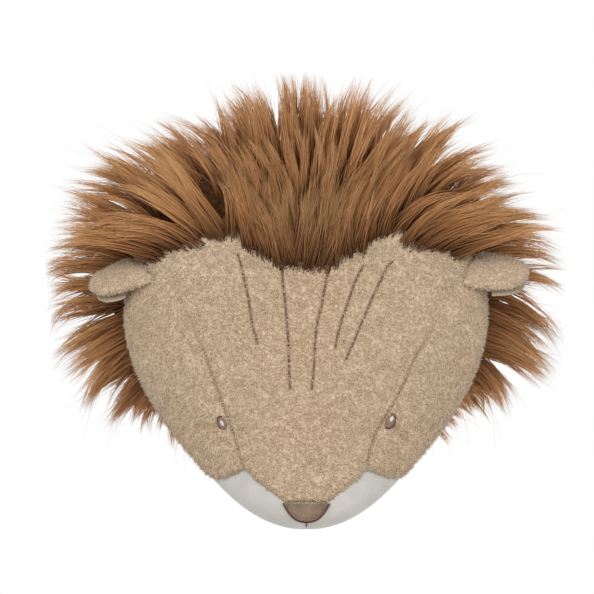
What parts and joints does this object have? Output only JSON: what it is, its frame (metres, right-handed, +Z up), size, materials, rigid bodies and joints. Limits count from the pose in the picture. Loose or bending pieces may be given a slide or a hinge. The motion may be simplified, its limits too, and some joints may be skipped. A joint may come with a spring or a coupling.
{
  "type": "plush lion head wall mask",
  "caption": "Stuffed plush lion head with a deep long-pile mane, small ears, white muzzle and embroidered eyes and nose, on a flat back panel with a tape hanging loop.",
  "frame": {"origin": "centre of the back panel's flat face, on the wall", "axes": "+Y out of the back and into the wall, so the head looks along -Y; +Z up; +X to the right of someone who faces the head"},
  "size_m": [0.3712, 0.2069, 0.3167],
  "materials": {
    "plush": "short napped pile, matte",
    "white_velour": "smooth short velour, matte",
    "nose_suede": "suede cloth, matte",
    "dark_thread": "satin thread",
    "eye_thread": "satin thread",
    "ear_lining": "smooth cloth, matte",
    "mane_fur": "long-pile faux fur",
    "felt": "felt, matte",
    "cotton_tape": "woven tape, matte"
  },
  "bodies": {
    "root": {"face_plush": "plush", "muzzle": "white_velour", "nose": "nose_suede", "nose_edging": "dark_thread", "mouth_stitch": "dark_thread", "brow_stitch_1": "dark_thread", "brow_stitch_2": "dark_thread", "brow_stitch_3": "dark_thread", "brow_stitch_4": "dark_thread", "brow_stitch_5": "dark_thread", "eye_left": "eye_thread", "eye_right": "eye_thread", "ear_left": "plush", "ear_right": "plush", "ear_lining_left": "ear_lining", "ear_lining_right": "ear_lining", "mane": "mane_fur", "back_panel": "felt", "hanging_loop": "cotton_tape"}
  },
  "joints": []
}
